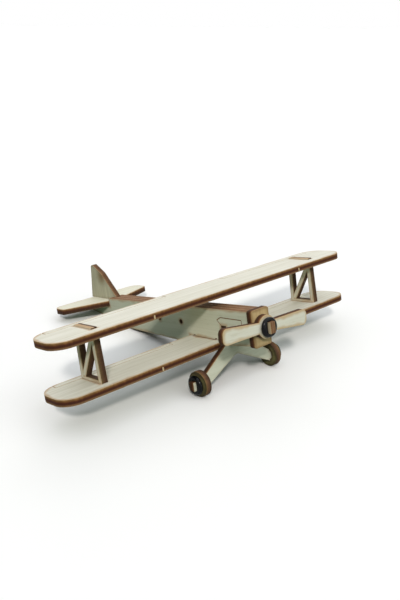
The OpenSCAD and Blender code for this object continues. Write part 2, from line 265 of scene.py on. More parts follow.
@dataclass(frozen=True)
class PlyFinish:
    """Birch plywood, sanded and cut by laser.

    The face is a pale rotary-cut veneer with long soft streaks and short dark pores. The beam chars the
    cut: it is tan at both faces and nearly black-brown in the core, with upright striations, and it leaves
    a tan halo on the face beside the cut.

    Attributes:
        name: what the board is, for the material's name.
        pale: the veneer's light wood.
        fibre: the veneer's darker streaks.
        scorch: colour of the halo beside a cut.
        halo_mm: how far the halo reaches.
        halo: strength of the halo at the cut, from 0 to 1.
        stain_share: strength of a smoke stain at its middle, from 0 to 1.
        char_and_gap_shade: colour of a slot's or a hole's wall and of the thin line round it; partly char,
            partly painted shade that stands for the shadow in the gaps and holes.
        gap_shade_mm: width of that line.
        gap_shade_share: strength of that colour, from 0 to 1.
        char: stops of the cut's colour from the back face to the show face.
        rub: colour of a tab's end where the char is rubbed off.
        rub_mm: length over which the rub sets in at a tab's end.
        rub_band: depths between which it sets in, as shares of the sheet.
        rub_share: strength of the rub, from 0 to 1.
        sheet_mm: thickness of the sheet.
        figure_mm: most that the figure is shifted, so that no two boards are alike.
        streak_mm: width of a veneer streak.
        streak_run: a streak's length for each width.
        streak_band: noise levels between which a streak darkens.
        streak_share: how dark the streaks are, from 0 to 1.
        pore_mm: pitch of the pores; real ones are too fine to show, so these are drawn coarser.
        pore_run: a pore's length for each width.
        pore_band: noise levels between which a pore darkens.
        pore_share: how dark the pores are.
        cloud_mm: size of the veneer's soft clouds.
        cloud_share: how dark the clouds are.
        smoke_mm: size of the patches in which the halo swells and fades.
        smoke_share: how far it swells and fades, as a share of its reach.
        waver_mm: size of the patches in which the char shifts.
        waver_share: how far the char shifts, as a share of the sheet.
        waver_light: how much those patches lighten the char.
        striation_mm: pitch of the beam's marks on the cut.
        striation_rise: scale of the marks up the cut against 1 along it, so that they stand upright.
        striation_light: how much the marks lighten the char.
        char_floor: lightness of the char where neither does.
        edge_mm: depths between which the face turns into the cut.
        face_roughness: raw sanded wood.
        cut_roughness: charred wood.
        sheen: specular level; raw and charred wood are matt.
        relief_mm: depth of the pores and the beam's marks.
        relief_share: strength of that relief, from 0 to 1.
    """

    name: str = "birch_ply_laser_cut"
    pale: str = "#E9E5D6"
    fibre: str = "#D3CDB3"
    scorch: str = "#B58A58"
    halo_mm: float = 1.5
    halo: float = 0.55
    stain_share: float = 0.95
    # seam is partly char and partly painted shade for the gaps round tabs and inside holes
    char_and_gap_shade: str = "#4A3222"
    gap_shade_mm: float = 0.35
    gap_shade_share: float = 0.9
    char: tuple[tuple[float, str], ...] = (
        (0.0, "#4C3724"), (0.12, "#463322"), (0.30, "#3C2617"), (0.45, "#3E2113"), (0.60, "#4E2D1A"),
        (0.74, "#684428"), (0.86, "#815B37"), (0.97, "#AF9065"),
    )
    rub: str = "#C6A684"
    rub_mm: float = 0.15
    rub_band: Point2 = (0.30, 0.46)
    rub_share: float = 0.9
    sheet_mm: float = SHEET
    figure_mm: float = 90.0
    streak_mm: float = 1.3
    streak_run: float = 33.0
    streak_band: Point2 = (0.36, 0.72)
    streak_share: float = 0.5
    pore_mm: float = 0.88
    pore_run: float = 8.0
    pore_band: Point2 = (0.62, 0.74)
    pore_share: float = 0.35
    cloud_mm: float = 20.0
    cloud_share: float = 0.5
    smoke_mm: float = 6.2
    smoke_share: float = 0.8
    waver_mm: float = 2.0
    waver_share: float = 0.12
    waver_light: float = 0.7
    striation_mm: float = 0.9
    striation_rise: float = 0.12
    striation_light: float = 0.6
    char_floor: float = 0.35
    edge_mm: Point2 = (0.03, 0.13)
    face_roughness: float = 0.62
    cut_roughness: float = 0.8
    sheen: float = 0.2
    relief_mm: float = 0.05
    relief_share: float = 0.25

    def material(self, board: Board, rig: Rig) -> bpy.types.Material:
        """Make the material of one board.

        Args:
            board: the ply that takes it.
            rig: the frame that the ply is drawn in.

        Returns:
            The new material.
        """
        material = blank_material(f"{self.name}_{board.node}")
        tree = material.node_tree
        local = self.sheet_space(tree, board, rig)
        split = add(tree, "ShaderNodeSeparateXYZ", {0: local})
        dark = self.veneer(tree, local, random.Random(board.node).uniform(0, self.figure_mm))
        face = add(tree, "ShaderNodeMix", {
            0: dark, MIX_A: linear(self.pale), MIX_B: linear(self.fibre)},
            data_type="RGBA").outputs[MIX_OUT]
        wood, clear = self.distances(tree, board, split)
        face = self.scorched(tree, board, local, wood, face)
        marks = self.beam_marks(tree, local)
        cut = self.charred(tree, board, local, split, marks)
        sunk = self.below_faces(tree, split.outputs["Z"])
        colour = add(tree, "ShaderNodeMix", {
            0: sunk, MIX_A: face, MIX_B: cut}, data_type="RGBA").outputs[MIX_OUT]
        # painted shade: the walls of slots and holes and a thin line round them are darkened, partly char,
        # partly the shadow in the gaps
        if clear is not None:
            char_and_gap_shade = add(tree, "ShaderNodeMapRange", {
                "Value": clear, "From Max": self.gap_shade_mm,
                "To Min": self.gap_shade_share, "To Max": 0.0}).outputs[0]
            colour = add(tree, "ShaderNodeMix", {
                0: char_and_gap_shade, MIX_A: colour, MIX_B: linear(self.char_and_gap_shade)}, data_type="RGBA").outputs[MIX_OUT]
        roughness = add(tree, "ShaderNodeMapRange", {
            "Value": sunk, "To Min": self.face_roughness, "To Max": self.cut_roughness}).outputs[0]
        relief = add(tree, "ShaderNodeMath", {
            0: marks, 1: sunk, 2: dark}, operation="MULTIPLY_ADD").outputs[0]
        bump = add(tree, "ShaderNodeBump", {
            "Strength": self.relief_share, "Distance": self.relief_mm * MM, "Height": relief}).outputs[0]
        shader = add(tree, "ShaderNodeBsdfPrincipled", {
            "Base Color": colour, "Roughness": roughness, "Normal": bump,
            "Specular IOR Level": self.sheen})
        add(tree, "ShaderNodeOutputMaterial", {0: shader.outputs[0]})
        return material

    def sheet_space(self, tree: Tree, board: Board, rig: Rig) -> Socket:
        """Measure along the grain, across it and up from the back face.

        Args:
            tree: the material's nodes.
            board: the ply.
            rig: the frame that the ply is drawn in.

        Returns:
            A vector in millimetres.
        """
        axes = [rig.axis(*board.grain), rig.axis(*board.across()), rig.axis(*board.face)]
        coords = add(tree, "ShaderNodeTexCoord").outputs["Object"]
        return add(tree, "ShaderNodeMapping", {
            "Vector": coords, "Location": rig.point(*board.corner), "Scale": (MM, MM, MM),
            "Rotation": Matrix(axes).transposed().to_euler()}, vector_type="TEXTURE").outputs[0]

    def veneer(self, tree: Tree, local: Socket, seed: float) -> Socket:
        """Weigh the veneer's darker wood: streaks drawn out along the grain, short pores and soft clouds.

        Args:
            tree: the material's nodes.
            local: place in the sheet.
            seed: shift of the figure, so that no two boards are alike.

        Returns:
            The share of dark wood, from 0 to 1.
        """
        drawn = add(tree, "ShaderNodeVectorMath", {
            0: local, 1: (1 / self.streak_run, 1, 1), 2: (seed, seed, seed)},
            operation="MULTIPLY_ADD").outputs[0]
        streak = add(tree, "ShaderNodeTexNoise", {
            "Vector": drawn, "Scale": 1 / self.streak_mm, "Detail": 4.0, "Roughness": 0.6}).outputs["Fac"]
        streak = add(tree, "ShaderNodeMapRange", {
            "Value": streak, "From Min": self.streak_band[0], "From Max": self.streak_band[1],
            "To Max": self.streak_share}).outputs[0]
        short = add(tree, "ShaderNodeVectorMath", {
            0: local, 1: (1 / self.pore_run, 1, 1), 2: (seed, 0, seed)},
            operation="MULTIPLY_ADD").outputs[0]
        pore = add(tree, "ShaderNodeTexNoise", {
            "Vector": short, "Scale": 1 / self.pore_mm, "Detail": 2.0}).outputs["Fac"]
        pore = add(tree, "ShaderNodeMapRange", {
            "Value": pore, "From Min": self.pore_band[0], "From Max": self.pore_band[1],
            "To Max": self.pore_share}).outputs[0]
        cloud = add(tree, "ShaderNodeTexNoise", {
            "Vector": local, "Scale": 1 / self.cloud_mm, "Detail": 2.0}).outputs["Fac"]
        dark = add(tree, "ShaderNodeMath", {
            0: cloud, 1: self.cloud_share, 2: streak}, operation="MULTIPLY_ADD").outputs[0]
        return add(tree, "ShaderNodeMath", {0: dark, 1: pore}, operation="ADD", use_clamp=True).outputs[0]

    def distances(self, tree: Tree, board: Board, split: bpy.types.Node) -> tuple[Socket, Socket | None]:
        """Measure how far a point is from the cuts.

        Args:
            tree: the material's nodes.
            board: the ply, whose outlines are the cuts.
            split: the three parts of the place in the sheet.

        Returns:
            The distance to the nearest cut, and to the nearest slot or hole if there is one.
        """
        flat = add(tree, "ShaderNodeCombineXYZ", {
            0: split.outputs["X"], 1: split.outputs["Y"], 2: 1.0}).outputs[0]
        wood = self.inside(tree, flat, board, board.solids)
        if not board.cuts:
            return wood, None
        hole = self.inside(tree, flat, board, board.cuts)
        clear = add(tree, "ShaderNodeMath", {0: hole, 1: -1.0}, operation="MULTIPLY").outputs[0]
        return self.joined(tree, [wood, clear], "MINIMUM"), clear

    def scorched(self, tree: Tree, board: Board, local: Socket, wood: Socket, face: Socket) -> Socket:
        """Scorch the face with a halo beside each cut, wavered by the smoke, and with the board's stain.

        Args:
            tree: the material's nodes.
            board: the ply.
            local: place in the sheet.
            wood: distance to the nearest cut.
            face: the veneer's colour.

        Returns:
            The scorched colour.
        """
        smoke = add(tree, "ShaderNodeTexNoise", {
            "Vector": local, "Scale": 1 / self.smoke_mm, "Detail": 1.5}).outputs["Fac"]
        swing = self.smoke_share * self.halo_mm
        drift = add(tree, "ShaderNodeMapRange", {
            "Value": smoke, "To Min": swing, "To Max": -swing}, clamp=False).outputs[0]
        reach = add(tree, "ShaderNodeMath", {0: wood, 1: drift}, operation="ADD").outputs[0]
        halo = add(tree, "ShaderNodeMapRange", {
            "Value": reach, "From Max": self.halo_mm, "To Min": self.halo, "To Max": 0.0},
            interpolation_type="SMOOTHSTEP").outputs[0]
        face = add(tree, "ShaderNodeMix", {
            0: halo, MIX_A: face, MIX_B: linear(self.scorch)}, data_type="RGBA").outputs[MIX_OUT]
        if board.stain is None:
            return face
        middle, radius = board.stain
        away = add(tree, "ShaderNodeVectorMath", {
            0: local, 1: (*board.flat(middle), self.sheet_mm)}, operation="DISTANCE").outputs["Value"]
        ragged = add(tree, "ShaderNodeMath", {0: away, 1: drift}, operation="ADD").outputs[0]
        stain = add(tree, "ShaderNodeMapRange", {
            "Value": ragged, "From Max": radius, "To Min": self.stain_share, "To Max": 0.0},
            interpolation_type="SMOOTHSTEP").outputs[0]
        return add(tree, "ShaderNodeMix", {
            0: stain, MIX_A: face, MIX_B: linear(self.scorch)}, data_type="RGBA").outputs[MIX_OUT]

    @staticmethod
    def joined(tree: Tree, values: list[Socket], operation: str) -> Socket:
        """Join several values into one, two at a time.

        Args:
            tree: the material's nodes.
            values: the values.
            operation: what joins two of them.

        Returns:
            The joined value.
        """
        result = values[0]
        for value in values[1:]:
            result = add(tree, "ShaderNodeMath", {0: result, 1: value}, operation=operation).outputs[0]
        return result

    def inside(self, tree: Tree, flat: Socket, board: Board, outlines: list[list[Point3]]) -> Socket:
        """Measure how far inside convex outlines a point lies.

        Args:
            tree: the material's nodes.
            flat: place on the face, with 1 for its third part.
            board: the ply.
            outlines: outlines of the ply, as rig points.

        Returns:
            The distance to the nearest side of the outline that holds the point, negative outside all.
        """
        depths = []
        for outline in outlines:
            gaps = []
            for plane in board.half_planes(outline):
                gap = add(tree, "ShaderNodeVectorMath", {0: flat, 1: plane}, operation="DOT_PRODUCT")
                gaps.append(gap.outputs["Value"])
            depths.append(self.joined(tree, gaps, "MINIMUM"))
        return self.joined(tree, depths, "MAXIMUM")

    def beam_marks(self, tree: Tree, local: Socket) -> Socket:
        """Draw the beam's upright marks on the cut.

        Args:
            tree: the material's nodes.
            local: place in the sheet.

        Returns:
            Their height, from 0 to 1.
        """
        upright = add(tree, "ShaderNodeVectorMath", {
            0: local, 1: (1, 1, self.striation_rise)}, operation="MULTIPLY").outputs[0]
        return add(tree, "ShaderNodeTexNoise", {
            "Vector": upright, "Scale": 1 / self.striation_mm, "Detail": 2.0}).outputs["Fac"]

    def charred(self, tree: Tree, board: Board, local: Socket, split: bpy.types.Node,
                marks: Socket) -> Socket:
        """Colour the cut: charred plies, and the ends of tabs where the char is rubbed off.

        Args:
            tree: the material's nodes.
            board: the ply.
            local: place in the sheet.
            split: its three parts.
            marks: the beam's marks.

        Returns:
            The cut's colour.
        """
        waver = add(tree, "ShaderNodeTexNoise", {
            "Vector": local, "Scale": 1 / self.waver_mm, "Detail": 3.0}).outputs["Fac"]
        level = add(tree, "ShaderNodeMath", {
            0: split.outputs["Z"], 1: 1 / self.sheet_mm, 2: -self.waver_share / 2},
            operation="MULTIPLY_ADD").outputs[0]
        share = add(tree, "ShaderNodeMath", {
            0: waver, 1: self.waver_share, 2: level}, operation="MULTIPLY_ADD").outputs[0]
        ramp = add(tree, "ShaderNodeValToRGB", {0: share})
        while len(ramp.color_ramp.elements) < len(self.char):
            ramp.color_ramp.elements.new(0.5)
        for element, (place, code) in zip(ramp.color_ramp.elements, self.char):
            element.position, element.color = place, linear(code)
        patch = add(tree, "ShaderNodeMath", {
            0: waver, 1: self.waver_light, 2: self.char_floor}, operation="MULTIPLY_ADD").outputs[0]
        shade = add(tree, "ShaderNodeMath", {
            0: marks, 1: self.striation_light, 2: patch}, operation="MULTIPLY_ADD").outputs[0]
        cut = add(tree, "ShaderNodeMix", {
            0: 1.0, MIX_A: ramp.outputs[0], MIX_B: shade},
            data_type="RGBA", blend_type="MULTIPLY").outputs[MIX_OUT]
        if board.rubbed is None:
            return cut
        past = add(tree, "ShaderNodeMapRange", {
            "Value": split.outputs["X"], "From Min": board.rubbed,
            "From Max": board.rubbed + self.rub_mm}).outputs[0]
        show = add(tree, "ShaderNodeMapRange", {
            "Value": share, "From Min": self.rub_band[0], "From Max": self.rub_band[1],
            "To Max": self.rub_share}).outputs[0]
        worn = add(tree, "ShaderNodeMath", {0: past, 1: show}, operation="MULTIPLY").outputs[0]
        return add(tree, "ShaderNodeMix", {
            0: worn, MIX_A: cut, MIX_B: linear(self.rub)}, data_type="RGBA").outputs[MIX_OUT]

    def below_faces(self, tree: Tree, depth: Socket) -> Socket:
        """Tell the cut from both faces by the depth in the sheet.

        Args:
            tree: the material's nodes.
            depth: millimetres up from the back face.

        Returns:
            1 on the cut, 0 on a face, with a soft step at the eased edge.
        """
        back = add(tree, "ShaderNodeMath", {0: self.sheet_mm, 1: depth}, operation="SUBTRACT").outputs[0]
        near = add(tree, "ShaderNodeMath", {0: depth, 1: back}, operation="MINIMUM").outputs[0]
        return add(tree, "ShaderNodeMapRange", {
            "Value": near, "From Min": self.edge_mm[0], "From Max": self.edge_mm[1]}).outputs[0]


@dataclass(frozen=True)
class RubberFinish:
    """Nitrile rubber, moulded: black and smooth with a soft sheen, a little dusty in patches.

    Attributes:
        name: the material's name.
        base: clean rubber.
        dust: dusty rubber.
        dust_mm: size of the dusty patches.
        dust_band: noise levels between which the dust sets in.
        gloss: roughness of clean rubber.
        dulled: roughness that the dust adds.
        ior: rubber's index of refraction.
        sheen: specular level, low because used rubber is dull.
    """

    name: str = "nitrile_rubber_moulded"
    base: str = "#07080A"
    dust: str = "#0E0F12"
    dust_mm: float = 1.6
    dust_band: Point2 = (0.45, 0.75)
    gloss: float = 0.12
    dulled: float = 0.2
    ior: float = 1.52
    sheen: float = 0.12

    def material(self) -> bpy.types.Material:
        """Make the rubber's material.

        Returns:
            The new material.
        """
        material = blank_material(self.name)
        tree = material.node_tree
        coords = add(tree, "ShaderNodeTexCoord").outputs["Object"]
        cloud = add(tree, "ShaderNodeTexNoise", {
            "Vector": coords, "Scale": 1 / (self.dust_mm * MM), "Detail": 4.0}).outputs["Fac"]
        dust = add(tree, "ShaderNodeMapRange", {
            "Value": cloud, "From Min": self.dust_band[0], "From Max": self.dust_band[1]}).outputs[0]
        colour = add(tree, "ShaderNodeMix", {
            0: dust, MIX_A: linear(self.base), MIX_B: linear(self.dust)},
            data_type="RGBA").outputs[MIX_OUT]
        rough = add(tree, "ShaderNodeMapRange", {
            "Value": dust, "To Min": self.gloss, "To Max": self.gloss + self.dulled}).outputs[0]
        shader = add(tree, "ShaderNodeBsdfPrincipled", {
            "Base Color": colour, "Roughness": rough, "IOR": self.ior, "Specular IOR Level": self.sheen})
        add(tree, "ShaderNodeOutputMaterial", {0: shader.outputs[0]})
        return material


@dataclass(frozen=True)
class SnappedFinish:
    """Birch, snapped across the grain: pale torn fibres with tan flecks, and no char.

    Attributes:
        name: the material's name.
        pale: torn fibres.
        fleck: broken ends.
        fleck_mm: width of a broken end.
        fleck_band: noise levels between which a fleck darkens.
        roughness: torn wood.
    """

    name: str = "birch_snapped"
    pale: str = "#C9B48E"
    fleck: str = "#8A6A47"
    fleck_mm: float = 0.3
    fleck_band: Point2 = (0.5, 0.7)
    roughness: float = 0.85

    def material(self) -> bpy.types.Material:
        """Make the snapped wood's material.

        Returns:
            The new material.
        """
        material = blank_material(self.name)
        tree = material.node_tree
        coords = add(tree, "ShaderNodeTexCoord").outputs["Object"]
        torn = add(tree, "ShaderNodeTexNoise", {
            "Vector": coords, "Scale": 1 / (self.fleck_mm * MM), "Detail": 3.0}).outputs["Fac"]
        fleck = add(tree, "ShaderNodeMapRange", {
            "Value": torn, "From Min": self.fleck_band[0], "From Max": self.fleck_band[1]}).outputs[0]
        colour = add(tree, "ShaderNodeMix", {
            0: fleck, MIX_A: linear(self.pale), MIX_B: linear(self.fleck)},
            data_type="RGBA").outputs[MIX_OUT]
        shader = add(tree, "ShaderNodeBsdfPrincipled", {
            "Base Color": colour, "Roughness": self.roughness})
        add(tree, "ShaderNodeOutputMaterial", {0: shader.outputs[0]})
        return material


# the stabilizer's sheet: pale, with a tan halo and a dark cut
BIRCH = PlyFinish()
# the wings' cut shows the plies: tan, nearly black core, tan
WING = PlyFinish(
    name="birch_ply_wing_laser_cut", pale="#EEEADF", fibre="#D2CCBA", streak_share=0.62, halo=0.65, char=(
        (0.0, "#7B5E41"), (0.10, "#7E6145"), (0.20, "#745438"), (0.30, "#4C2A18"), (0.42, "#3A1A0D"),
        (0.56, "#442212"), (0.68, "#603A1D"), (0.80, "#785431"), (0.92, "#967146"), (0.98, "#B5976C")))
# the fuselage sides look cooler, and their top edges were sanded back to brown
BODY = PlyFinish(
    name="birch_ply_fuselage_laser_cut", pale="#DFDFCD", fibre="#C9C8B0", char=(
        (0.0, "#7D5C3F"), (0.16, "#846044"), (0.30, "#6C4B34"), (0.36, "#7D5B42"), (0.62, "#815F44"),
        (0.68, "#684831"), (0.84, "#7F5D3F"), (0.97, "#967450")))
# the struts' narrow bars are charred evenly
STRUT = PlyFinish(
    name="birch_ply_strut_laser_cut", halo_mm=0.9, halo=0.6, char=(
        (0.0, "#3F2917"), (0.35, "#442D1D"), (0.55, "#513823"), (0.80, "#55422A"), (0.97, "#71603F")))
# the fin's veneer is set darker than the other sheets; its cut is brown right through, and smoke stained
# its shoulder
FIN = PlyFinish(
    name="birch_ply_fin_laser_cut", pale="#CBC8B1", fibre="#9B967D", scorch="#7F6744", halo_mm=1.6,
    halo=0.35, char=(
        (0.0, "#583D2A"), (0.35, "#5A3E2A"), (0.60, "#60422C"), (0.80, "#6E5037"), (0.97, "#8A6C4C")))
# the propeller's hub is scorched right across between its two cuts
BLADE = PlyFinish(
    name="birch_ply_propeller_laser_cut", pale="#E1DFD4", fibre="#CBC6B2", scorch="#B8955C", halo_mm=1.6,
    halo=0.7)
# the gear plate was wiped clean beside the cut
GEAR = PlyFinish(
    name="birch_ply_gear_laser_cut", pale="#DCDCCB", fibre="#C5C4AD", scorch="#A98A62", halo_mm=1.0,
    halo=0.3)
# the nose plate is drawn tan, browner than the other sheets
TAN = PlyFinish(name="tan_ply_laser_cut", pale="#C8B085", fibre="#A48B5D", scorch="#7A5734", halo=0.6)
# the small wheels were smoked all over
SMOKED = PlyFinish(
    name="smoked_ply_laser_cut", pale="#7F794F", fibre="#5D563A", scorch="#3E331F", halo_mm=2.2,
    halo=0.85, char=(
        (0.0, "#382819"), (0.3, "#4E3525"), (0.5, "#5E4131"), (0.75, "#6C4D33"), (0.97, "#7A5F3A")))


@dataclass
class SubAssembly:
    """Pieces that belong together.

    Attributes:
        rig: the frame that the plies are drawn in.
        ply: thickness of the sheet in millimetres.
        weld_gap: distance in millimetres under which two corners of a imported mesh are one.
        flat_angle: angle in degrees under which neighbouring facets are one face.
        ease: width of the eased edge of a ply in millimetres.
        ease_steps: facets across an eased edge.
        crease: angle in degrees past which an edge is eased.
    """

    rig: Rig
    ply: float = SHEET
    weld_gap: float = 0.0005
    flat_angle: float = 0.5
    ease: float = 0.12
    ease_steps: int = 2
    crease: float = 40.0

    def boards(self) -> list[tuple[Board, PlyFinish]]:
        """List the plies and their finishes."""
        return []

    def build(self) -> None:
        """Add the pieces that only the looks need."""

    def dress(self) -> None:
        """Ease the plies' edges and give them their finish."""
        for board, finish in self.boards():
            node = frame["nodes"][board.node]
            node.data.materials[0] = finish.material(board, self.rig)
            weld = node.modifiers.new("joined_faces", "WELD")
            weld.merge_threshold = self.weld_gap * MM
            flat = node.modifiers.new("whole_faces", "DECIMATE")
            flat.decimate_type = "DISSOLVE"
            flat.angle_limit = math.radians(self.flat_angle)
            bevel = node.modifiers.new("eased_edges", "BEVEL")
            bevel.width = self.ease * MM
            bevel.segments = self.ease_steps
            bevel.limit_method = "ANGLE"
            bevel.angle_limit = math.radians(self.crease)
            bevel.loop_slide = False
            node.modifiers.new("clean_shading", "WEIGHTED_NORMAL")
            log.info("dressed %s in %s", board.node, finish.name)

    def place(self, name: str, mesh: bmesh.types.BMesh, body: str, slot: str,
              material: bpy.types.Material) -> bpy.types.Object:
        """Turn a mesh into a piece that rides on a body.

        Args:
            name: the piece's name.
            mesh: its mesh in the row frame, which is used up.
            body: CAD body that carries it.
            slot: the record's material slot; not used.
            material: its finish.

        Returns:
            The new piece.
        """
        bmesh.ops.recalc_face_normals(mesh, faces=mesh.faces[:])
        data = bpy.data.meshes.new(name)
        mesh.to_mesh(data)
        mesh.free()
        piece = bpy.data.objects.new(name, data)
        bpy.context.scene.collection.objects.link(piece)
        piece.data.materials.append(material)
        for polygon in data.polygons:
            polygon.use_smooth = True
        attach(piece, body)
        log.info("built %s on %s: %d faces", name, body, len(data.polygons))
        return piece


@dataclass
class RubberRing(SubAssembly):
    """A rubber ring stretched over a square-cornered tab, in millimetres.

    Attributes:
        rubber: its finish.
        node: CAD node that the ring stands for.
        middle: its centre in rig millimetres.
        axis: rig axis of the tab.
        tall: rig axis of the tab's height.
        tab_h: the tab's height.
        outside: the ring's outside diameter.
        cord: the ring's thickness along the tab.
        squeezed: the thickness left where a corner stretches the ring, as a share of the cord.
        pressed: how round the section is on the tab, from 1, round, towards 0, flat.
        slack: gap between tab and ring.
        turns: points around the ring.
        sides: points around its section.
    """

    rubber: bpy.types.Material = field(kw_only=True)
    node: str = ""
    middle: Point3 = (0, 0, 0)
    axis: Point3 = FORWARD
    tall: Point3 = UP
    tab_h: float = 4.0
    outside: float = 8.8
    cord: float = 2.1
    squeezed: float = 0.55
    pressed: float = 0.5
    slack: float = 0.03
    turns: int = 120
    sides: int = 28

    def reach(self, c: float, s: float) -> tuple[float, float]:
        """Find the ring's inner and outer radius in one direction.

        Args:
            c: the direction's share across the tab.
            s: its share along the tab's height.

        Returns:
            The two radii.
        """
        across, along = max(abs(c), NEARLY_ZERO), max(abs(s), NEARLY_ZERO)
        inner = min(self.ply / 2 / across, self.tab_h / 2 / along) + self.slack
        return inner, max(self.outside / 2, inner + self.squeezed * self.cord)

    def section(self, turn: float) -> Point2:
        """Draw the ring's section: round on the outside, pressed flat where it lies on the tab.

        Args:
            turn: angle round the section in radians, 0 on the outside.

        Returns:
            Shares of half the section outwards and along the tab.
        """
        out, rise = math.cos(turn), math.sin(turn)
        if out < 0:
            out = -abs(out) ** self.pressed
            rise = math.copysign(abs(rise) ** self.pressed, rise)
        return out, rise

    def build(self) -> None:
        """Loft the ring round its tab, in place of its CAD node."""
        tall, axis = Vector(self.tall), Vector(self.axis)
        wide = tall.cross(axis)
        mesh = bmesh.new()
        loops = []
        for i in range(self.turns):
            angle = math.tau * i / self.turns
            c, s = math.cos(angle), math.sin(angle)
            inner, outer = self.reach(c, s)
            loop = []
            for j in range(self.sides):
                out, rise = self.section(math.tau * j / self.sides)
                radius = (inner + outer) / 2 + (outer - inner) / 2 * out
                along = self.cord / 2 * rise
                spot = Vector(self.middle) + (wide * c + tall * s) * radius + axis * along
                loop.append(mesh.verts.new(self.rig.point(*spot)))
            loops.append(loop)
        for a, b in zip(loops, loops[1:] + loops[:1]):
            for j in range(self.sides):
                k = (j + 1) % self.sides
                mesh.faces.new((a[j], a[k], b[k], b[j]))
        ring = self.place(f"{self.node}_stretched", mesh, "airframe", "black_rubber", self.rubber)
        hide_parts(self.node)


@dataclass
class Wings(SubAssembly):
    """Both wings, their N-struts and the snapped stubs of the bridges that held the wings in the sheet.

    All sizes are in millimetres.

    Attributes:
        snapped: the stubs' finish.
        span: width from tip to tip.
        chord: depth of a wing.
        front_r: radius of a tip's front corner.
        rear_r: radius of a tip's rear corner.
        bay: height between the wings.
        strut_y: distance of a strut from the middle.
        strut_setback: distance of a strut's foot from the leading edge.
        strut_foot: depth of a strut at its foot.
        strut_taper: how far each end draws in towards the head.
        upright: width of a strut's uprights.
        diagonal: width of its diagonal.
        rail: height of its rails at foot and head.
        tab_x: front end of its tab.
        tab_len: length of that tab.
        tab_proud: how far the tab stands above the upper wing.
        body_tab_x: front end of the fuselage's tab in the lower wing.
        body_tab_len: length of that tab.
        body_w: width of the fuselage.
        stubs: wing, edge and place along the span of each stub.
        stub_w: width of a stub.
        stub_h: height of a stub.
        stub_low: height of its lower end above the wing's underside.
        stub_proud: how far its longest fibres stand out.
        stub_root: how far its rim is sunk into the wing's edge.
        stub_torn: shortest and longest fibre, as shares of stub_proud.
        stub_cells: cells across a stub and up it.
    """

    snapped: bpy.types.Material = field(kw_only=True)
    span: float = 172.5
    chord: float = WING_CHORD
    front_r: float = 8.0
    rear_r: float = 9.5
    bay: float = 19.5
    strut_y: float = 65.25
    strut_setback: float = 4.1
    strut_foot: float = 15.5
    strut_taper: float = 0.55
    upright: float = 2.2
    diagonal: float = 2.3
    rail: float = 1.2
    tab_x: float = -5.35
    tab_len: float = 13.0
    tab_proud: float = 0.5
    body_tab_x: float = -5.4
    body_tab_len: float = 13.6
    body_w: float = 9.0
    stubs: tuple[tuple[str, Edge, float], ...] = (
        ("upper_wing", Edge.LEADING, -39.4), ("upper_wing", Edge.LEADING, 50.6),
        ("upper_wing", Edge.TRAILING, -30.0), ("upper_wing", Edge.TRAILING, 44.0),
        ("lower_wing", Edge.LEADING, -39.2), ("lower_wing", Edge.LEADING, 33.0),
        ("lower_wing", Edge.TRAILING, -30.0), ("lower_wing", Edge.TRAILING, 44.0))
    stub_w: float = 0.9
    stub_h: float = 1.86
    stub_low: float = 0.15
    stub_proud: float = 0.14
    stub_root: float = 0.05
    stub_torn: Point2 = (0.35, 1.0)
    stub_cells: tuple[int, int] = (5, 9)

    def wing_outline(self, z: float) -> list[Point3]:
        """Draw a wing's outline with its rounded tips.

        Args:
            z: height of the outline.

        Returns:
            Rig points in order.
        """
        half = self.span / 2
        left = arc((-self.front_r, half - self.front_r), self.front_r, 0, 90, TIP_STEPS)
        left += arc((self.rear_r - self.chord, half - self.rear_r), self.rear_r, 90, 180, TIP_STEPS)
        return [(x, y, z) for x, y in left] + [(x, -y, z) for x, y in reversed(left)]

    def strut_solids(self, y: float) -> list[list[Point3]]:
        """Draw the bars of an N-strut.

        Args:
            y: place of the outlines along the span.

        Returns:
            Convex outlines, as rig points.
        """
        front, back = -self.strut_setback, -self.strut_setback - self.strut_foot
        head_front, head_back = front - self.strut_taper, back + self.strut_taper
        top = self.bay
        lean = self.diagonal / 2 * math.hypot(self.strut_foot, top) / top
        low = (back + self.upright, self.rail)
        high = (head_front - self.upright, top - self.rail)
        bars = [
            [(front, 0), (head_front, top), (head_front - self.upright, top), (front - self.upright, 0)],
            [(back, 0), (head_back, top), (head_back + self.upright, top), (back + self.upright, 0)],
            [(low[0] - lean, low[1]), (low[0] + lean, low[1]),
             (high[0] + lean, high[1]), (high[0] - lean, high[1])],
            [(front, 0), (front, self.rail), (back, self.rail), (back, 0)],
            [(head_front, top - self.rail), (head_front, top),
             (head_back, top), (head_back, top - self.rail)],
        ]
        return [[(x, y, z) for x, z in bar] for bar in bars]

    def strut_tab(self, y: float) -> list[Point3]:
        """Draw the tab that goes through the upper wing.

        Args:
            y: place of the outline along the span.

        Returns:
            Rig points in order.
        """
        head = self.bay + self.ply + self.tab_proud
        flat = rectangle((self.tab_x - self.tab_len, self.bay - self.ply), (self.tab_x, head))
        return [(x, y, z) for x, z in flat]

    @staticmethod
    def mortise(front: float, length: float, middle: float, width: float) -> list[Point3]:
        """Outline of a mortise from its front end, its length, its place along the span and its width."""
        flat = rectangle((front - length, middle - width / 2), (front, middle + width / 2))
        return [(x, y, 0) for x, y in flat]

    def boards(self) -> list[tuple[Board, PlyFinish]]:
        """List the wings and the struts.

        Returns:
            Each ply with its finish.
        """
        upper = [self.mortise(self.tab_x, self.tab_len, s.value * self.strut_y, self.ply) for s in Side]
        lower = upper + [self.mortise(self.body_tab_x, self.body_tab_len, 0, self.body_w)]
        found = []
        for node, z, cuts in (("upper_wing", self.bay, upper), ("lower_wing", -self.ply, lower)):
            found.append((Board(node, (0, 0, z), PORT, UP, [self.wing_outline(z)], cuts), WING))
        worn = self.bay + self.ply + self.tab_proud - STRUT.rub_mm
        for side in Side:
            y = side.value * self.strut_y + self.ply / 2
            solids = self.strut_solids(y) + [self.strut_tab(y)]
            node = f"strut_{side.name.lower()}"
            found.append((Board(node, (0, y, 0), UP, STARBOARD, solids, rubbed=worn), STRUT))
        return found

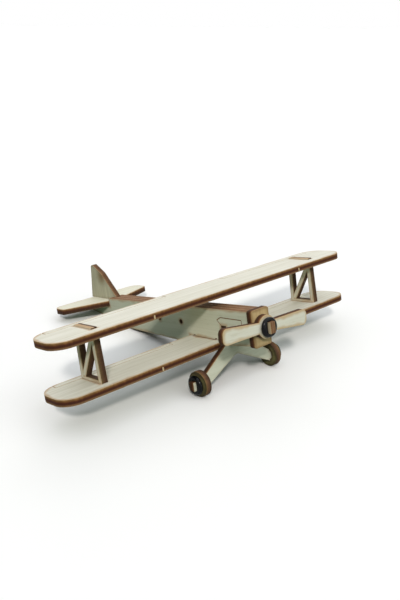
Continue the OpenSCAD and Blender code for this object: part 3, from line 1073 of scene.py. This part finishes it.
    def build(self) -> None:
        """Model the snapped bridges on the leading and trailing edges."""
        for node, z in (("upper_wing", self.bay), ("lower_wing", -self.ply)):
            chance = random.Random(node)
            mesh = bmesh.new()
            for wing, edge, y in self.stubs:
                if wing == node:
                    x = 0.0 if edge is Edge.LEADING else -self.chord
                    self.add_stub(mesh, (x, y, z + self.stub_low), edge, chance)
            self.place(f"{node}_bridge_stubs", mesh, "airframe", "birch_ply", self.snapped)

    def add_stub(self, mesh: bmesh.types.BMesh, foot: Point3, edge: Edge, chance: random.Random) -> None:
        """Add one torn stub to a mesh.

        Args:
            mesh: mesh that takes it.
            foot: middle of its lower end on the wing's edge.
            edge: edge that it stands on.
            chance: seeded source of its torn shape.
        """
        across, up = self.stub_cells
        rows = []
        for i in range(up + 1):
            row = []
            for j in range(across + 1):
                rim = i in (0, up) or j in (0, across)
                proud = -self.stub_root if rim else self.stub_proud * chance.uniform(*self.stub_torn)
                y = foot[1] + self.stub_w * (j / across - 0.5)
                z = foot[2] + self.stub_h * i / up
                row.append(mesh.verts.new(self.rig.point(foot[0] + edge.value * proud, y, z)))
            rows.append(row)
        for a, b in zip(rows, rows[1:]):
            for j in range(across):
                mesh.faces.new((a[j], a[j + 1], b[j + 1], b[j]))
        right, left = [row[-1] for row in rows[1:-1]], [row[0] for row in rows[-2:0:-1]]
        loop = rows[0] + right + rows[-1][::-1] + left
        mesh.faces.new(loop[::-1])


@dataclass
class Fuselage(SubAssembly):
    """The three fuselage plies and the nose plate.

    All sizes are in millimetres.

    Attributes:
        nose: front end of the fuselage.
        deck_nose: height of its top edge at the nose.
        deck_tail: height of its top edge at the tail.
        belly: lower edge from the tail to the nose.
        below: a height under the belly, where open slots start.
        above: a height over the deck, where the tail's notch ends.
        beyond: how far that notch is drawn past the tail.
        gear_slot: front, back and top of the gear plate's slot.
        stab_front: front end of the stabilizer's notch.
        pegs: middles of the two cross holes.
        peg_r: radius of a cross hole.
        plate_half: half the nose plate's width.
        plate_low: height of the nose plate's lower end.
        plate_high: height of its upper end.
        plate_r: radius of its corners.
    """

    nose: float = 17.9
    deck_nose: float = 15.2
    deck_tail: float = 12.05
    belly: tuple[Point2, ...] = ((TAIL_X, 5.0), (-75.0, -2.2), (-32.0, -3.7), (0.0, -2.1), (17.9, -0.1))
    below: float = -5.0
    above: float = 16.0
    beyond: float = 1.0
    gear_slot: tuple[float, float, float] = (0.05, 3.15, 7.2)
    stab_front: float = -89.75
    pegs: tuple[Point2, ...] = ((-28.6, 6.1), (-45.4, 6.1))
    peg_r: float = 1.05
    plate_half: float = 5.2
    plate_low: float = -0.8
    plate_high: float = 15.9
    plate_r: float = 1.2

    def side_outline(self, y: float) -> list[Point3]:
        """Outline of a fuselage ply at y."""
        deck = [(self.nose, self.deck_nose), (TAIL_X, self.deck_tail)]
        return [(x, y, z) for x, z in deck + list(self.belly)]

    def side_cuts(self, y: float) -> list[list[Point3]]:
        """Draw the slots and holes of a fuselage ply.

        Args:
            y: place of the outlines across the model.

        Returns:
            Convex outlines, as rig points.
        """
        front, back, top = self.gear_slot
        flat = [
            rectangle((-WING_CHORD, self.below), (0, 0)),
            rectangle((front, self.below), (back, top)),
            rectangle((TAIL_X - self.beyond, STAB_Z), (self.stab_front, self.above)),
        ]
        flat += [circle(peg, self.peg_r, HOLE_SIDES) for peg in self.pegs]
        return [[(x, y, z) for x, z in cut] for cut in flat]

    def boards(self) -> list[tuple[Board, PlyFinish]]:
        """List the three plies and the nose plate.

        Returns:
            Each ply with its finish.
        """
        found = []
        half = self.ply / 2
        plies = (("fuselage_side_right", Side.RIGHT, -half), ("fuselage_core", Side.RIGHT, half),
                 ("fuselage_side_left", Side.LEFT, half))
        for node, side, y in plies:
            show, outline = (0, side.value, 0), self.side_outline(y)
            found.append((Board(node, (0, y, 0), FORWARD, show, [outline], self.side_cuts(y)), BODY))
        found.append((Board("nose_plate", (self.nose, 0, 0), UP, FORWARD, [self.plate_outline()]), TAN))
        return found

    def plate_outline(self) -> list[Point3]:
        """Draw the nose plate's outline with its rounded corners.

        Returns:
            Rig points in order.
        """
        half, r = self.plate_half - self.plate_r, self.plate_r
        low, high = self.plate_low + r, self.plate_high - r
        flat = []
        for turn, corner in enumerate(((half, high), (-half, high), (-half, low), (half, low))):
            flat += arc(corner, r, 90 * turn, 90 * turn + 90, CORNER_STEPS)
        return [(self.nose, y, z) for y, z in flat]


@dataclass
class Propeller(SubAssembly):
    """The flat propeller and the ring that holds it.

    All sizes are in millimetres.

    Attributes:
        rubber: the ring's finish.
        x: back face of the propeller.
        axis_z: height of its axis.
        length: length from tip to tip.
        tip_w: width of a blade at its tip.
        root_w: width of a blade at the middle.
        root_past: how far a blade's outline reaches past the middle.
        tip_r: radius of a blade's corners.
        hub_r: radius of the hub.
        bore_r: radius of the bore.
        rest: turn at rest in degrees, with the right blade up.
        ring_x: back end of the ring.
        tab_h: height of the tab that the ring holds on to.
    """

    rubber: bpy.types.Material = field(kw_only=True)
    x: float = 21.15
    axis_z: float = 8.2
    length: float = 50.7
    tip_w: float = 7.0
    root_w: float = 4.2
    root_past: float = 1.0
    tip_r: float = 2.4
    hub_r: float = 5.15
    bore_r: float = 2.975
    rest: float = 5.0
    ring_x: float = 24.4
    tab_h: float = 5.0

    def boards(self) -> list[tuple[Board, PlyFinish]]:
        """List the propeller.

        Returns:
            The ply with its finish.
        """
        tip, half, r = self.length / 2, self.tip_w / 2, self.tip_r
        blade = [(-self.root_past, -self.root_w / 2), (-self.root_past, self.root_w / 2)]
        blade += arc((tip - r, half - r), r, 90, 0, CORNER_STEPS)
        blade += arc((tip - r, r - half), r, 0, -90, CORNER_STEPS)
        shapes = [blade, [(-a, b) for a, b in blade], circle((0, 0), self.hub_r, DISC_SIDES)]
        shapes.append(circle((0, 0), self.bore_r, HOLE_SIDES))
        c, s = math.cos(math.radians(self.rest)), math.sin(math.radians(self.rest))
        turned = [[(self.x, a * c + b * s, self.axis_z - a * s + b * c) for a, b in shape]
                  for shape in shapes]
        board = Board("propeller", (self.x, 0, self.axis_z), (0, c, -s), FORWARD, turned[:-1], turned[-1:])
        return [(board, BLADE)]

    def build(self) -> None:
        """Stretch the ring over the shaft tab."""
        ring = RubberRing(
            self.rig, rubber=self.rubber, node="propeller_ring", axis=FORWARD, tab_h=self.tab_h)
        ring.middle = (self.ring_x + ring.cord / 2, 0, self.axis_z)
        ring.build()


@dataclass
class LandingGear(SubAssembly):
    """The V plate, its wheels and their rings.

    All sizes are in millimetres.

    Attributes:
        rubber: the rings' finish.
        x: back face of the plate.
        tongue: half the tongue's width.
        tongue_z: height of the tongue's top.
        tongue_low: height at which its outline ends inside the plate.
        leg_y: outer end of a leg.
        leg_w: width of a leg at its end.
        leg_past: how far a leg's outline reaches past the middle.
        axle_drop: depth of the axle tabs under the lower wing's top.
        axle_h: height of an axle tab.
        axle_root: place in the leg where its outline starts.
        axle_end: outer end of an axle tab.
        crotch: depth of the notch between the legs.
        wheel_y: inner face of a wheel.
        wheel_r: radius of a wheel.
        bore_r: radius of its bore.
        ring_y: inner end of a ring.
    """

    rubber: bpy.types.Material = field(kw_only=True)
    x: float = 0.1
    tongue: float = 4.15
    tongue_z: float = 5.6
    tongue_low: float = -4.0
    leg_y: float = 20.35
    leg_w: float = 5.6
    leg_past: float = 6.0
    axle_drop: float = 13.8
    axle_h: float = 4.0
    axle_root: float = 17.0
    axle_end: float = 27.05
    crotch: float = 6.4
    wheel_y: float = 20.6
    wheel_r: float = 5.75
    bore_r: float = 2.56
    ring_y: float = 23.85

    @classmethod
    def right_wheel(cls) -> Point3:
        """Middle of the right wheel in rig millimetres."""
        return (cls.x + cls.ply / 2, -cls.wheel_y - cls.ply / 2, -cls.axle_drop)

    def plate_solids(self) -> list[list[Point3]]:
        """Draw the tongue, the legs and the axle tabs.

        Returns:
            Convex outlines, as rig points.
        """
        half, past = self.leg_w / 2, self.leg_past
        slope = (self.axle_drop + half - self.crotch) / self.leg_y
        low, high = -self.axle_drop - self.axle_h / 2, -self.axle_drop + self.axle_h / 2
        shapes = [rectangle((-self.tongue, self.tongue_low), (self.tongue, self.tongue_z))]
        for side in Side:
            s = side.value
            shapes.append([
                (-past * s, 0), (self.tongue * s, 0), (self.leg_y * s, half - self.axle_drop),
                (self.leg_y * s, -half - self.axle_drop), (-past * s, past * slope - self.crotch)])
            shapes.append(rectangle((self.axle_root * s, low), (self.axle_end * s, high)))
        return [[(self.x, y, z) for y, z in shape] for shape in shapes]

    def boards(self) -> list[tuple[Board, PlyFinish]]:
        """List the V plate and the wheels.

        Returns:
            Each ply with its finish.
        """
        found = [(Board("landing_gear", (self.x, 0, 0), PORT, FORWARD, self.plate_solids()), GEAR)]
        middle = (self.x + self.ply / 2, -self.axle_drop)
        for side in Side:
            node, y = f"wheel_{side.name.lower()}", side.value * self.wheel_y
            disc = [(x, y, z) for x, z in circle(middle, self.wheel_r, DISC_SIDES)]
            bore = [(x, y, z) for x, z in circle(middle, self.bore_r, HOLE_SIDES)]
            corner, show = (middle[0], y, middle[1]), (0, side.value, 0)
            found.append((Board(node, corner, FORWARD, show, [disc], [bore]), SMOKED))
        return found

    def build(self) -> None:
        """Stretch a ring over each axle tab."""
        for side in Side:
            ring = RubberRing(self.rig, rubber=self.rubber, node=f"wheel_ring_{side.name.lower()}",
                              axis=(0, side.value, 0), tab_h=self.axle_h)
            y = side.value * (self.ring_y + ring.cord / 2)
            ring.middle = (self.x + self.ply / 2, y, -self.axle_drop)
            ring.build()


@dataclass
class Tail(SubAssembly):
    """The stabilizer and the fin.

    All sizes are in millimetres.

    Attributes:
        root: depth of the stabilizer at the fuselage.
        tip: its depth at the tips.
        half_span: half its width.
        front_r: cut of a tip's front corner.
        rear_r: radius of a tip's rear corner.
        root_half: half the width over which its leading edge is straight.
        fin: outline of the fin.
        stain: middle and radius of the smoke stain on the fin's shoulder.
    """

    root: float = 20.2
    tip: float = 11.0
    half_span: float = 27.5
    front_r: float = 1.6
    rear_r: float = 4.5
    root_half: float = 5.0
    fin: tuple[Point2, ...] = ((-85.3, 11.3), (-94.6, 22.2), (-98.5, 25.4), (-102.0, 27.8), (-105.4, 29.7),
                               (-107.3, 29.2), (-111.2, 11.9), (-111.2, 11.3))
    stain: tuple[Point3, float] = ((-98.4, -1.5, 23.6), 7.0)

    def boards(self) -> list[tuple[Board, PlyFinish]]:
        """List the stabilizer and the fin.

        Returns:
            Each ply with its finish.
        """
        left = [
            (TAIL_X + self.root, self.root_half),
            (TAIL_X + self.tip, self.half_span - self.front_r),
            (TAIL_X + self.tip - self.front_r, self.half_span),
        ]
        corner = (TAIL_X + self.rear_r, self.half_span - self.rear_r)
        left += arc(corner, self.rear_r, 90, 180, CORNER_STEPS)
        outline = [(x, y, STAB_Z) for x, y in left] + [(x, -y, STAB_Z) for x, y in reversed(left)]
        fin = [(x, self.ply / 2, z) for x, z in self.fin]
        return [
            (Board("stabilizer", (0, 0, STAB_Z), PORT, UP, [outline]), BIRCH),
            (Board("fin", (0, self.ply / 2, 0), UP, STARBOARD, [fin], stain=self.stain), FIN),
        ]


@dataclass
class PhotoCamera:
    """The camera at the photograph's viewing angle, placed from the wing rig.

    Attributes:
        rig: the frame that the camera was measured in.
        azimuth: degrees round from the nose towards the right wing.
        elevation: degrees up from the wings' plane.
        roll: degrees of turn about the view.
        distance: millimetres from the target.
        target: rig point at the middle of the picture.
        focal_px: focal length in pixels of a picture of frame_px pixels' height.
        frame_px: that height.
        sensor: height of the sensor in millimetres.
        nearest: clipping distance in metres.
    """

    rig: Rig
    azimuth: float = 50.681
    elevation: float = 12.664
    roll: float = -8.0395
    distance: float = 300.718
    target: Point3 = (-6.578, -9.046, 19.7)
    focal_px: float = 676.16
    frame_px: int = 600
    sensor: float = 36.0
    nearest: float = 0.005

    def build(self) -> None:
        """Make the camera and hand it to the scene."""
        a, e, r = (math.radians(v) for v in (self.azimuth, self.elevation, self.roll))
        back = Vector((math.sin(a) * math.cos(e), -math.cos(a) * math.cos(e), math.sin(e)))
        right = Vector((math.cos(a), math.sin(a), 0))
        up = back.cross(right)
        right, up = right * math.cos(r) + up * math.sin(r), up * math.cos(r) - right * math.sin(r)
        spot = Vector(self.target) + back * self.distance
        data = bpy.data.cameras.new("photo_camera")
        data.sensor_fit = "VERTICAL"
        data.sensor_height = self.sensor
        data.lens = self.sensor * self.focal_px / self.frame_px
        data.clip_start = self.nearest
        data.dof.use_dof = False
        camera = bpy.data.objects.new("photo_camera", data)
        turn = Matrix([self.rig.axis(*right), self.rig.axis(*up), self.rig.axis(*back)]).transposed()
        camera.matrix_world = Matrix.Translation(self.rig.point(*spot)) @ turn.to_4x4()
        bpy.context.scene.collection.objects.link(camera)
        bpy.context.scene.camera = camera
        log.info("placed the camera at %s", [round(v, 4) for v in camera.matrix_world.translation])


@dataclass(frozen=True)
class SunLamp:
    """A far lamp of the studio.

    Attributes:
        name: the lamp's name.
        source: direction to the lamp.
        level: its share of the light on a face that meets it squarely; 1 shows a colour as it is written.
        spread: its apparent size in degrees.
        tint: its colour.
    """

    name: str
    source: Point3
    level: float
    spread: float
    tint: str

    def build(self) -> None:
        """Hang the lamp."""
        data = bpy.data.lights.new(self.name, "SUN")
        data.energy = math.pi * self.level
        data.angle = math.radians(self.spread)
        data.color = linear(self.tint)[:3]
        lamp = bpy.data.objects.new(self.name, data)
        lamp.rotation_euler = Vector(self.source).to_track_quat("Z", "Y").to_euler()
        bpy.context.scene.collection.objects.link(lamp)


@dataclass
class Studio:
    """A pale floor, a key light, broad lights ahead and overhead, a weak one behind and a dim surround.

    Attributes:
        lamps: the lamps.
        fill_level: the surround's share of the light.
        fill: the surround's colour.
        backdrop: the surround's colour to the camera and to gloss.
        floor_seen: the floor's colour to the camera and to gloss.
        floor_bounce: the floor's colour to the light that it throws back.
        floor_half: half the floor's edge in metres.
        floor_drop: how far the floor lies under the wheels in millimetres.
    """

    lamps: tuple[SunLamp, ...] = (
        SunLamp("key_light", (0.572, -0.52, 0.633), 0.48, 6.0, "#FFFBF4"),
        SunLamp("front_light", (0.85, 0.25, 0.45), 0.30, 70.0, "#FBFFFB"),
        SunLamp("overhead_light", (0.0, 0.0, 1.0), 0.545, 100.0, "#F7FAFF"),
        SunLamp("back_light", (-0.62, 0.62, 0.48), 0.16, 50.0, "#FFFFFF"),
    )
    fill_level: float = 0.08
    fill: str = "#C4EAD2"
    backdrop: str = "#FFFFFF"
    floor_seen: str = "#FAF8F8"
    floor_bounce: str = "#556A57"
    floor_half: float = 40.0
    floor_drop: float = 0.02

    def build(self) -> None:
        """Make the lamps, the surround and the floor."""
        bpy.context.scene.view_settings.view_transform = "Standard"
        for lamp in self.lamps:
            lamp.build()
        self.build_surround()
        self.build_floor()

    @staticmethod
    def seen(tree: Tree) -> Socket:
        """Tell rays from the camera, in gloss or through glass from the rest.

        Args:
            tree: node tree that takes the test.

        Returns:
            A socket that is 1 for those rays.
        """
        path = add(tree, "ShaderNodeLightPath").outputs
        either = add(tree, "ShaderNodeMath", {
            0: path["Is Camera Ray"], 1: path["Is Glossy Ray"]}, operation="MAXIMUM").outputs[0]
        return add(tree, "ShaderNodeMath", {
            0: either, 1: path["Is Transmission Ray"]}, operation="MAXIMUM").outputs[0]

    def build_surround(self) -> None:
        """Light the surround dimly, and show it white behind the floor."""
        world = bpy.data.worlds.new("surround")
        bpy.context.scene.world = world
        world.use_nodes = True
        tree = world.node_tree
        tree.nodes.clear()
        dim = add(tree, "ShaderNodeBackground", {0: linear(self.fill), 1: self.fill_level}).outputs[0]
        white = add(tree, "ShaderNodeBackground", {0: linear(self.backdrop), 1: 1.0}).outputs[0]
        mix = add(tree, "ShaderNodeMixShader", {0: self.seen(tree), 1: dim, 2: white}).outputs[0]
        add(tree, "ShaderNodeOutputWorld", {0: mix})

    def build_floor(self) -> None:
        """Lay a wide matt paper floor under the wheels: white to the eye, with the shadows on it."""
        h = self.floor_half
        data = bpy.data.meshes.new("floor")
        data.from_pydata([(-h, -h, 0), (h, -h, 0), (h, h, 0), (-h, h, 0)], [], [(0, 1, 2, 3)])
        floor = bpy.data.objects.new("floor", data)
        floor.location.z = -self.floor_drop * MM
        bpy.context.scene.collection.objects.link(floor)
        material = blank_material("matt_paper_floor")
        tree = material.node_tree
        dim = add(tree, "ShaderNodeBsdfDiffuse", {0: linear(self.floor_bounce)}).outputs[0]
        pale = add(tree, "ShaderNodeBsdfDiffuse", {0: linear(self.floor_seen)}).outputs[0]
        mix = add(tree, "ShaderNodeMixShader", {0: self.seen(tree), 1: dim, 2: pale}).outputs[0]
        add(tree, "ShaderNodeOutputMaterial", {0: mix})
        data.materials.append(material)
        log.info("laid the floor and hung %d lamps", len(self.lamps))


def main() -> None:
    """Build and dress the biplane, then set up the studio."""
    logging.basicConfig(level=logging.INFO, format="%(message)s")
    rig = Rig.from_joints(frame["joints"], LandingGear.right_wheel())
    PhotoCamera(rig).build()
    rubber, snapped = RubberFinish().material(), SnappedFinish().material()
    for group in (Wings(rig, snapped=snapped), Fuselage(rig), Propeller(rig, rubber=rubber),
                  LandingGear(rig, rubber=rubber), Tail(rig)):
        group.dress()
        group.build()
        log.info("finished %s", type(group).__name__)
    Studio().build()


if __name__ == "__main__":
    main()
